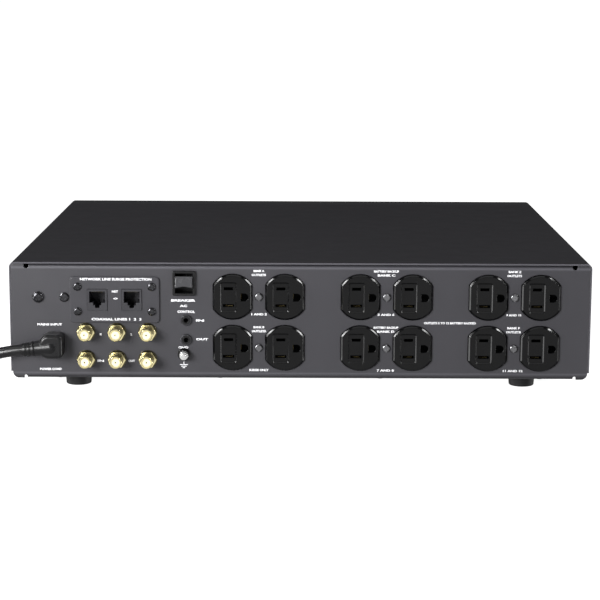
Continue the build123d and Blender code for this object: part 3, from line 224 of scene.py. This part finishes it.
class Shader:
    """One procedural material, built up in steps from object coordinates in metres."""

    def __init__(self, name, color, rough=0.5, metal=0.0, specular=0.5):
        self.material = bpy.data.materials.new(name)
        self.material.use_nodes = True
        self.tree = self.material.node_tree
        self.nodes, self.links = self.tree.nodes, self.tree.links
        self.nodes.clear()
        self.out = self.nodes.new("ShaderNodeOutputMaterial")
        self.bsdf = self.nodes.new("ShaderNodeBsdfPrincipled")
        self.links.new(self.bsdf.outputs[0], self.out.inputs[0])
        self.coords = self.nodes.new("ShaderNodeTexCoord").outputs["Object"]
        self.color = color
        self.bsdf.inputs["Base Color"].default_value = (*color, 1)
        self.bsdf.inputs["Roughness"].default_value = rough
        self.bsdf.inputs["Metallic"].default_value = metal
        self.bsdf.inputs["Specular IOR Level"].default_value = specular
        self.rough = rough
        self.normal = None
        self.color_link = None

    def noise(self, scale, detail=3.0, stretch=(1, 1, 1), distortion=0.0):
        vector = self.coords
        if stretch != (1, 1, 1):
            mapping = self.nodes.new("ShaderNodeMapping")
            mapping.inputs["Scale"].default_value = stretch
            self.links.new(self.coords, mapping.inputs["Vector"])
            vector = mapping.outputs[0]
        node = self.nodes.new("ShaderNodeTexNoise")
        node.inputs["Scale"].default_value = scale
        node.inputs["Detail"].default_value = detail
        node.inputs["Distortion"].default_value = distortion
        self.links.new(vector, node.inputs["Vector"])
        return node.outputs["Fac"]

    def range(self, value, low, high, from_low=0.3, from_high=0.7):
        node = self.nodes.new("ShaderNodeMapRange")
        node.inputs["From Min"].default_value = from_low
        node.inputs["From Max"].default_value = from_high
        node.inputs["To Min"].default_value = low
        node.inputs["To Max"].default_value = high
        self.links.new(value, node.inputs["Value"])
        return node.outputs["Result"]

    def mottle(self, scale, low, high, stretch=(1, 1, 1), detail=3.0):
        """Varies the colour between two multiples of itself."""
        factor = self.range(self.noise(scale, detail, stretch), 0.0, 1.0)
        return self.mix(factor, [c * low for c in self.color], [c * high for c in self.color])

    def mix(self, factor, first, second):
        node = self.nodes.new("ShaderNodeMix")
        node.data_type = "RGBA"
        self.links.new(factor, node.inputs["Factor"])
        for socket, value in ((6, first), (7, second)):
            if hasattr(value, "links"):
                self.links.new(value, node.inputs[socket])
            else:
                node.inputs[socket].default_value = (*value, 1)
        self.color_link = node.outputs[2]
        self.links.new(self.color_link, self.bsdf.inputs["Base Color"])
        return self

    def gloss(self, scale, spread, stretch=(1, 1, 1)):
        """Varies the roughness a little around its value."""
        noise = self.noise(scale, 4.0, stretch)
        value = self.range(noise, self.rough - spread, self.rough + spread)
        self.links.new(value, self.bsdf.inputs["Roughness"])
        return self

    def shade(self, axis, low, high, shades):
        """Multiplies the colour by shades given at places in metres along one axis."""
        split = self.nodes.new("ShaderNodeSeparateXYZ")
        self.links.new(self.coords, split.inputs[0])
        return self.ramp(split.outputs[axis], low, high, shades)

    def ramp(self, value, low, high, shades):
        place = self.range(value, 0.0, 1.0, low, high)
        ramp = self.nodes.new("ShaderNodeValToRGB")
        stops = ramp.color_ramp.elements
        while len(stops) < len(shades):
            stops.new(0.5)
        for stop, (where, shade) in zip(stops, shades):
            stop.position = (where - low) / (high - low)
            stop.color = (shade, shade, shade, 1)
        self.links.new(place, ramp.inputs[0])
        times = self.nodes.new("ShaderNodeMix")
        times.data_type = "RGBA"
        times.blend_type = "MULTIPLY"
        times.inputs["Factor"].default_value = 1.0
        self.links.new(self.color_link, times.inputs[6])
        self.links.new(ramp.outputs[0], times.inputs[7])
        self.color_link = times.outputs[2]
        self.links.new(self.color_link, self.bsdf.inputs["Base Color"])
        return self

    def rings(self, x, z, shades):
        """Multiplies the colour by shades given at radii in metres round an axis along Y."""
        offset = self.nodes.new("ShaderNodeVectorMath")
        offset.operation = "SUBTRACT"
        offset.inputs[1].default_value = (x, 0, z)
        self.links.new(self.coords, offset.inputs[0])
        flat = self.nodes.new("ShaderNodeVectorMath")
        flat.operation = "MULTIPLY"
        flat.inputs[1].default_value = (1, 0, 1)
        self.links.new(offset.outputs[0], flat.inputs[0])
        length = self.nodes.new("ShaderNodeVectorMath")
        length.operation = "LENGTH"
        self.links.new(flat.outputs[0], length.inputs[0])
        return self.ramp(length.outputs["Value"], 0.0, shades[-1][0], shades)

    def bump(self, height, distance, strength=1.0):
        node = self.nodes.new("ShaderNodeBump")
        node.inputs["Distance"].default_value = distance
        node.inputs["Strength"].default_value = strength
        self.links.new(height, node.inputs["Height"])
        if self.normal is not None:
            self.links.new(self.normal, node.inputs["Normal"])
        self.normal = node.outputs[0]
        self.links.new(self.normal, self.bsdf.inputs["Normal"])
        return self

    def grain(self, scale, distance, strength=1.0, detail=3.0, stretch=(1, 1, 1)):
        return self.bump(self.noise(scale, detail, stretch), distance, strength)

    def soften(self, radius):
        """Rounds the look of hard edges by a radius in metres."""
        node = self.nodes.new("ShaderNodeBevel")
        node.samples = 6
        node.inputs["Radius"].default_value = radius
        self.normal = node.outputs[0]
        self.links.new(self.normal, self.bsdf.inputs["Normal"])
        return self

    def bands(self, axis, period, distance, profile="SIN"):
        """Ridges across one axis, such as a thread or ribs, with their period in metres."""
        wave = self.nodes.new("ShaderNodeTexWave")
        wave.bands_direction = axis
        wave.wave_profile = profile
        wave.inputs["Scale"].default_value = WAVE_REPEAT / period
        self.links.new(self.coords, wave.inputs["Vector"])
        return self.bump(wave.outputs["Fac"], distance)


def powder_coat(name, color, rough=0.42, specular=0.5, stops=()):
    """Textured paint; stops are painted light and shade on it at places along Y or Z."""
    coat = Shader(name, color, rough, specular=specular)
    coat.mottle(7.0, 0.96, 1.04)
    for axis, low, high, shades in stops:
        coat.shade(axis, low, high, shades)
    coat.gloss(60.0, 0.025)
    coat.soften(0.0006)
    coat.grain(1400.0, 0.00007, 0.55, 2.0)
    return coat.material


def moulded(name, color, rough=0.4, scale=2200.0, depth=0.00003, specular=0.5, edge=0.0003):
    plastic = Shader(name, color, rough, specular=specular)
    plastic.mottle(60.0, 0.9, 1.12)
    plastic.gloss(120.0, 0.05)
    plastic.soften(edge)
    plastic.grain(scale, depth, 0.5)
    return plastic.material


def metal(name, color, rough=0.25, stretch=(1, 1, 1), scale=300.0, stops=(), rim=None):
    plated = Shader(name, color, rough, metal=1.0)
    plated.mottle(scale * 0.3, 0.88, 1.08, stretch)
    for axis, low, high, shades in stops:
        plated.shade(axis, low, high, shades)
    if rim is not None:
        plated.rings(*rim)
    plated.gloss(scale, 0.07, stretch)
    plated.soften(0.0002)
    plated.grain(scale * 3, 0.00001, 0.4, 3.0, stretch)
    return plated.material


def threaded():
    """Gold-plated barrel: thread ridges along the socket's axis, with painted shade on its sides
    behind the end face.
    """
    gold = Shader("gold_thread", (0.92, 0.82, 0.46), 0.18, metal=1.0)
    gold.mottle(180.0, 0.85, 1.05)
    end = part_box("coax_connectors")[1].y
    # painted shade: the barrel's sides are darkened to 0.3 and only its end face keeps full
    # brightness
    gold.shade("Y", end - 0.01, end, [(end - 0.01, 0.3), (end - 0.0016, 0.3), (end - 0.0009, 1.0)])
    gold.gloss(500.0, 0.05)
    gold.bands("Y", 0.0008, 0.00012)
    return gold.material


def board():
    """Green solder mask with fine copper tracks showing through."""
    mask = Shader("solder_mask", (0.02, 0.13, 0.05), 0.3)
    brick = mask.nodes.new("ShaderNodeTexBrick")
    brick.inputs["Scale"].default_value = 90.0
    brick.inputs["Mortar Size"].default_value = 0.03
    brick.inputs["Color1"].default_value = (0.02, 0.13, 0.05, 1)
    brick.inputs["Color2"].default_value = (0.025, 0.16, 0.06, 1)
    brick.inputs["Mortar"].default_value = (0.05, 0.26, 0.1, 1)
    mask.links.new(mask.coords, brick.inputs["Vector"])
    mask.links.new(brick.outputs["Color"], mask.bsdf.inputs["Base Color"])
    mask.grain(400.0, 0.00005, 0.4)
    return mask.material


def laminated():
    """Stack of varnished steel sheets."""
    core = Shader("laminations", (0.12, 0.11, 0.1), 0.45, metal=0.6)
    core.mottle(40.0, 0.7, 1.2)
    core.bands("Y", 0.0005, 0.00008)
    return core.material


def clear(name, color, rough, transmission, ior=1.45):
    glass = Shader(name, color, rough)
    glass.bsdf.inputs["Transmission Weight"].default_value = transmission
    glass.bsdf.inputs["IOR"].default_value = ior
    glass.mottle(30.0, 0.95, 1.05)
    glass.grain(500.0, 0.00001, 0.2)
    return glass.material


# painted light and shade on the cover: its faces are darkened to 0.27 of its paint, partly a darker
# paint than the panel's and partly painted shade on the top, and its cut edge at the rear keeps the
# full paint as a painted highlight
COVER_SHADE_AND_EDGE_HIGHLIGHT = ("Y", REAR - 0.01, REAR, [
    (REAR - 0.01, 0.27), (REAR - 0.0005, 0.27), (REAR - 0.0002, 1.0)])
# painted highlights along the panel's two folds, and painted shade where the bottom fold turns
# under and in the seam above the top fold
FOLD_HIGHLIGHTS_AND_SHADE = ("Z", BASE, BASE + 0.09, [
    (BASE, 0.17), (BASE + 0.0016, 0.27), (BASE + 0.0030, 0.5), (BASE + 0.0039, 0.85),
    (BASE + 0.0050, 0.48), (BASE + 0.0822, 0.48), (BASE + 0.0836, 1.0), (BASE + 0.0850, 0.4)])
# painted shade round the coaxial sockets' nuts: the washer is painted near black and the flanks
# dull for the shadow about them, and the front face keeps full brightness
NUT_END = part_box("coax_nuts")[1].y
NUT_PAINTED_SHADE = ("Y", NUT_END - 0.01, NUT_END, [
    (REAR + 0.0007, 0.02), (REAR + 0.0009, 0.2), (NUT_END - 0.0009, 0.22),
    (NUT_END - 0.0004, 1.0)])
# the grounding stud is dark where it meets the panel, and its nut has a dark rim round its axis
STUD_FOOT = ("Y", REAR, REAR + 0.01, [(REAR, 0.05), (REAR + 0.0011, 0.05), (REAR + 0.0015, 1.0)])
nut_lo, nut_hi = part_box("ground_nut")
NUT_RIM = ((nut_lo.x + nut_hi.x) / 2, (nut_lo.z + nut_hi.z) / 2, [
    (0.0, 1.0), (0.0029, 1.0), (0.0034, 0.03), (0.006, 0.03)])
M = {
    "cover": powder_coat("cover_paint", (0.068, 0.066, 0.075), 0.62, 0.08, [COVER_SHADE_AND_EDGE_HIGHLIGHT]),
    "pan": powder_coat("pan_paint", (0.0165, 0.0162, 0.018), 0.55, 0.2),
    "panel": powder_coat("panel_paint", (0.0650, 0.0634, 0.0735), 0.4, 0.4, [FOLD_HIGHLIGHTS_AND_SHADE]),
    "plate": powder_coat("plate_paint", (0.0300, 0.0293, 0.034), 0.38, 0.35),
    "zinc": metal("zinc_plate", (0.42, 0.43, 0.44), 0.48, (1, 0.15, 1), 120.0),
    "nickel": metal("bright_nickel", (0.78, 0.78, 0.77), 0.16),
    "gold": metal("gold_plate", (0.93, 0.83, 0.47), 0.18, stops=[NUT_PAINTED_SHADE]),
    # the spring contacts are coloured far darker than bare brass: painted shade for contacts that
    # sit deep inside the slots and jacks
    "contact": metal("spring_contact", (0.14, 0.11, 0.05), 0.4),
    "thread": threaded(),
    "brass": metal("contact_brass", (0.75, 0.55, 0.25), 0.25),
    "black_screw": metal("black_oxide", (0.07, 0.07, 0.075), 0.17),
    "steel": metal("worn_steel", (0.22, 0.22, 0.23), 0.22),
    "ground_stud": metal("stud_plate", (0.85, 0.85, 0.84), 0.18, stops=[STUD_FOOT]),
    "ground_nut": metal("nut_plate", (0.95, 0.95, 0.94), 0.24, rim=NUT_RIM),
    "outlet": moulded("outlet_thermoplastic", (0.0014, 0.0014, 0.0016), 0.13, 1500.0, 0.000006,
                      0.22, 0.0004),
    "black": moulded("black_plastic", (0.006, 0.006, 0.0065), 0.3, specular=0.3),
    "bezel": moulded("bezel_plastic", (0.018, 0.018, 0.02), 0.58, 1300.0, 0.00006, 0.12),
    "button": moulded("button_plastic", (0.05, 0.05, 0.055), 0.35),
    "rocker": moulded("rocker_plastic", (0.036, 0.036, 0.039), 0.25, specular=0.5, edge=0.0009),
    "rubber": moulded("foot_rubber", (0.008, 0.008, 0.009), 0.6, 900.0, 0.00008, 0.3),
    "jacket": moulded("cord_jacket", (0.004, 0.004, 0.0045), 0.28, 700.0, 0.00002, 0.6),
    "white": moulded("white_nylon", (0.62, 0.6, 0.5), 0.4),
    "dielectric": moulded("coax_dielectric", (0.72, 0.66, 0.42), 0.3),
    "grey": moulded("jack_housing", (0.026, 0.0255, 0.0295), 0.5, specular=0.25),
    "battery": moulded("battery_case", (0.04, 0.04, 0.044), 0.55, 600.0, 0.00008, 0.2),
    "tape": moulded("winding_tape", (0.62, 0.45, 0.1), 0.3, 200.0, 0.0002),
    "sleeve": moulded("capacitor_sleeve", (0.012, 0.02, 0.06), 0.25),
    "wire": moulded("wire_insulation", (0.3, 0.02, 0.02), 0.4),
    "ferrite": moulded("ferrite", (0.04, 0.045, 0.04), 0.7),
    "board": board(),
    "core": laminated(),
    "window": clear("smoked_window", (0.04, 0.04, 0.045), 0.08, 0.75),
    "clear": clear("clear_acrylic", (0.8, 0.85, 0.82), 0.1, 0.9),
}
NODE_LOOK = {
    "base_pan": "pan", "rear_panel": "panel", "top_cover": "cover", "front_wall": "zinc",
    "battery_bay_cage": "zinc", "bezel": "bezel", "rubber_feet": "rubber", "foot_screws": "zinc",
    "case_screws": "black_screw", "receptacles": "outlet", "receptacle_straps": "zinc",
    "receptacle_contacts": "contact", "receptacle_screws": "steel", "breaker_body": "black",
    "breaker_rocker": "rocker", "trigger_jacks": "black", "trigger_jack_nuts": "black_screw",
    "ground_stud": "ground_stud", "ground_nut": "ground_nut", "coax_connectors": "thread",
    "coax_nuts": "gold", "coax_insulators": "dielectric", "network_plate": "plate",
    "network_plate_screws": "black_screw", "network_jacks": "grey", "network_contacts": "contact",
    "panel_screws": "black_screw", "surge_board": "board", "strain_relief": "black",
    "power_cord": "jacket", "cord_coil": "jacket", "plug_body": "jacket", "plug_pins": "brass",
    "display_window": "window", "display_module": "black", "control_board": "board",
    "light_pipes": "clear", "power_button": "button", "menu_button_up": "button",
    "menu_button_down": "button", "drawer_front": "bezel", "battery_tray": "zinc",
    "battery_front": "battery", "battery_rear": "battery", "battery_terminals": "brass",
    "drawer_connector": "white", "bay_connector": "white", "thumbscrew_left": "nickel",
    "thumbscrew_right": "nickel", "transformer_core": "core", "transformer_coil": "tape",
    "main_board": "board", "heatsinks": "zinc", "power_transistors": "black",
    "capacitors": "sleeve", "relays": "black", "line_choke": "ferrite", "fan_frame": "black",
    "fan_rotor": "black", "wires": "wire",
}


def paint(piece, material):
    piece.data.materials.clear()
    piece.data.materials.append(material)


for name, look in NODE_LOOK.items():
    paint(nodes[name], M[look])
paint(cord, M["jacket"])
paint(tie, moulded("tie_fabric", (0.02, 0.02, 0.022), 0.9, 3000.0, 0.0003))

# ------------------------------------------------------------------ print on the rear panel
# (x, z, width, capital height, words), in mm on the panel; plain words for what a socket is for
PLATE_X, PLATE_Z, PLATE_OUT = (104, 172), (42, 77), 1.6  # the protection plate, on the panel
INK_OUT = 0.03  # the print's height over the metal
CAPITAL = 0.69  # a capital's height in type of size 1
EARTH_X = 86.9
PRINT = [
    (136.8, 75.0, 53.0, 1.7, "NETWORK LINE SURGE PROTECTION"),
    (136.6, 44.9, 37.0, 1.7, "COAXIAL LINES 1  2  3"),
    (137.6, 65.8, 4.6, 1.5, "NET"),
    (137.2, 60.4, 3.4, 1.7, "<>"),
    (87.3, 59.0, 18.0, 1.6, "BREAKER"),
    (86.8, 54.9, 5.4, 1.5, "AC"),
    (85.0, 50.5, 13.0, 1.6, "CONTROL"),
    (74.7, 43.9, 6.0, 1.5, "IN"),
    (73.2, 29.7, 9.0, 1.5, "OUT"),
    (87.2, 23.4, 7.6, 1.5, "GND"),
    (148.8, 33.1, 1.4, 1.4, "1"),
    (126.0, 33.1, 1.4, 1.4, "2"),
    (149.0, 13.0, 4.9, 1.5, "IN"),
    (125.9, 13.0, 4.9, 1.5, "OUT"),
    (186.6, 40.5, 18.4, 1.6, "MAINS INPUT"),
    (186.4, 6.6, 16.2, 1.5, "POWER CORD"),
    (-111.3, 42.6, 38.6, 1.5, "OUTLETS 5 TO 12 BATTERY BACKED"),
]
# x, widths of the first and second lines, widths of the upper and lower captions, and the words
BANKS = [
    (31.0, 8.0, 10.6, 11.6, 14.6, ("BANK A", "OUTLETS", "1 AND 2"),
     ("BANK B", "OUTLETS", "SURGE ONLY")),
    (-63.6, 18.4, 13.0, 12.6, 12.8, ("BATTERY BACKUP", "BANK C", "5 AND 6"),
     ("BATTERY BACKUP", "BANK D", "7 AND 8")),
    (-158.6, 9.4, 11.0, 11.2, 14.8, ("BANK E", "OUTLETS", "9 AND 10"),
     ("BANK F", "OUTLETS", "11 AND 12")),
]
for bank_x, first_w, second_w, upper_w, lower_w, upper, lower in BANKS:
    PRINT += [
        (bank_x, 81.4, first_w, 1.5, upper[0]), (bank_x, 78.4, second_w, 1.5, upper[1]),
        (bank_x, 48.8, upper_w, 1.5, upper[2]), (bank_x, 39.0, first_w, 1.5, lower[0]),
        (bank_x, 36.0, second_w, 1.5, lower[1]), (bank_x, 6.4, lower_w, 1.5, lower[2]),
    ]


def lettering(x, z, width, capital, words):
    """Flat words on the panel, spaced out to their printed width."""
    curve = bpy.data.curves.new("print", "FONT")
    curve.body = words
    curve.size = capital * MM / CAPITAL
    curve.offset = 0.0001
    curve.resolution_u = 2
    curve.align_x, curve.align_y = "CENTER", "CENTER"
    item = bpy.data.objects.new("print", curve)
    scene.collection.objects.link(item)
    bpy.context.view_layer.update()
    natural = item.dimensions.x / MM
    on_plate = PLATE_X[0] < x < PLATE_X[1] and PLATE_Z[0] < z < PLATE_Z[1]
    out = PLATE_OUT if on_plate else 0.0
    stretch = width / natural
    item.matrix_world = (Matrix.Translation(at(x, z, out + INK_OUT)) @ Matrix.Rotation(pi, 4, "Z")
                         @ Matrix.Rotation(pi / 2, 4, "X") @ Matrix.Diagonal((stretch, 1, 1, 1)))
    return item


def flat_bar(bm, x, z, width, height):
    corners = [(-1, -1), (1, -1), (1, 1), (-1, 1)]
    verts = [bm.verts.new(at(x - a * width / 2, z + b * height / 2, INK_OUT)) for a, b in corners]
    bm.faces.new(verts)


def make_print():
    words = [lettering(*line) for line in PRINT]
    bpy.context.view_layer.update()
    depsgraph = bpy.context.evaluated_depsgraph_get()
    bm = bmesh.new()
    for item in words:
        mesh = bpy.data.meshes.new_from_object(item.evaluated_get(depsgraph))
        mesh.transform(item.matrix_world)
        bm.from_mesh(mesh)
        bpy.data.meshes.remove(mesh)
        bpy.data.objects.remove(item)
    # earth symbol under the grounding post
    for width, z in ((6.0, 10.4), (4.0, 9.2), (1.8, 8.0)):
        flat_bar(bm, EARTH_X, z, width, 0.5)
    flat_bar(bm, EARTH_X, 11.6, 0.5, 2.0)
    ink = link("panel_print", bm)
    white = Shader("print_ink", (0.72, 0.72, 0.74), 0.55, specular=0.3)
    white.mottle(900.0, 0.75, 1.1)
    paint(ink, white.material)
    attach(ink, "unit")


make_print()


# ------------------------------------------------------------------ floor and light
FLOOR_HALF = 30.0
LOW_GLOW, HIGH_GLOW = 0.38, 0.12  # the room's brightness below and above the horizon


def make_stage():
    bm = bmesh.new()
    bmesh.ops.create_grid(bm, x_segments=1, y_segments=1, size=FLOOR_HALF)
    floor = link("floor", bm)
    pale = Shader("floor_paper", (0.4, 0.4, 0.4), 0.9, specular=0.05)
    pale.mottle(2.0, 0.995, 1.0)
    pale.bsdf.inputs["Emission Color"].default_value = (1, 1, 1, 1)
    pale.bsdf.inputs["Emission Strength"].default_value = 1.0
    paint(floor, pale.material)
    floor.visible_glossy = False
    world = bpy.data.worlds.new("studio")
    world.use_nodes = True
    tree = world.node_tree
    background = tree.nodes["Background"]
    background.inputs["Color"].default_value = (1, 1, 1, 1)
    place = tree.nodes.new("ShaderNodeTexCoord")
    split = tree.nodes.new("ShaderNodeSeparateXYZ")
    grade = tree.nodes.new("ShaderNodeMapRange")
    grade.inputs["From Min"].default_value, grade.inputs["From Max"].default_value = -0.3, 0.3
    grade.inputs["To Min"].default_value, grade.inputs["To Max"].default_value = LOW_GLOW, HIGH_GLOW
    tree.links.new(place.outputs["Generated"], split.inputs[0])
    tree.links.new(split.outputs["Z"], grade.inputs["Value"])
    # pale lower walls of the room: at both sides for edges that face sideways, and behind the rear
    aside = tree.nodes.new("ShaderNodeMath")
    aside.operation = "ABSOLUTE"
    tree.links.new(split.outputs["X"], aside.inputs[0])
    below = tree.nodes.new("ShaderNodeMapRange")
    below.inputs["From Min"].default_value, below.inputs["From Max"].default_value = -0.02, -0.08
    tree.links.new(split.outputs["Z"], below.inputs["Value"])
    strength = grade.outputs["Result"]
    walls = ((aside.outputs[0], 0.88, 0.96, 7.0), (split.outputs["Y"], 0.93, 0.98, 0.7))
    for way, low, high, most in walls:
        wall = tree.nodes.new("ShaderNodeMapRange")
        wall.inputs["From Min"].default_value, wall.inputs["From Max"].default_value = low, high
        wall.inputs["To Min"].default_value, wall.inputs["To Max"].default_value = 0.0, most
        tree.links.new(way, wall.inputs["Value"])
        total = tree.nodes.new("ShaderNodeMath")
        total.operation = "MULTIPLY_ADD"
        for socket, value in zip(total.inputs, (wall.outputs["Result"], below.outputs["Result"],
                                                strength)):
            tree.links.new(value, socket)
        strength = total.outputs[0]
    tree.links.new(strength, background.inputs["Strength"])
    scene.world = world
    scene.view_settings.view_transform = "Standard"


def area(name, place, aim, size, power):
    """Soft box: size is its width across and its height."""
    data = bpy.data.lights.new(name, "AREA")
    data.shape = "RECTANGLE"
    data.size, data.size_y = size
    data.energy = power
    lamp = bpy.data.objects.new(name, data)
    scene.collection.objects.link(lamp)
    lamp.location = place
    lamp.rotation_mode = "QUATERNION"
    lamp.rotation_quaternion = (Vector(aim) - Vector(place)).to_track_quat("-Z", "Y")


make_stage()
area("key", (1.0, 1.5, 0.45), (0.0, 0.15, 0.05), (0.7, 0.6), 43.0)
area("left_box", (1.15, 0.40, 0.95), (0.0, 0.19, 0.06), (0.09, 0.75), 13.0)
area("right_box", (-1.15, 0.40, 0.95), (0.0, 0.19, 0.06), (0.09, 0.75), 11.0)
area("over_edge", (0.0, 0.52, 1.6), (0.0, 0.19, 0.09), (1.3, 0.4), 2.0)

# ------------------------------------------------------------------ finish
bpy.context.view_layer.update()
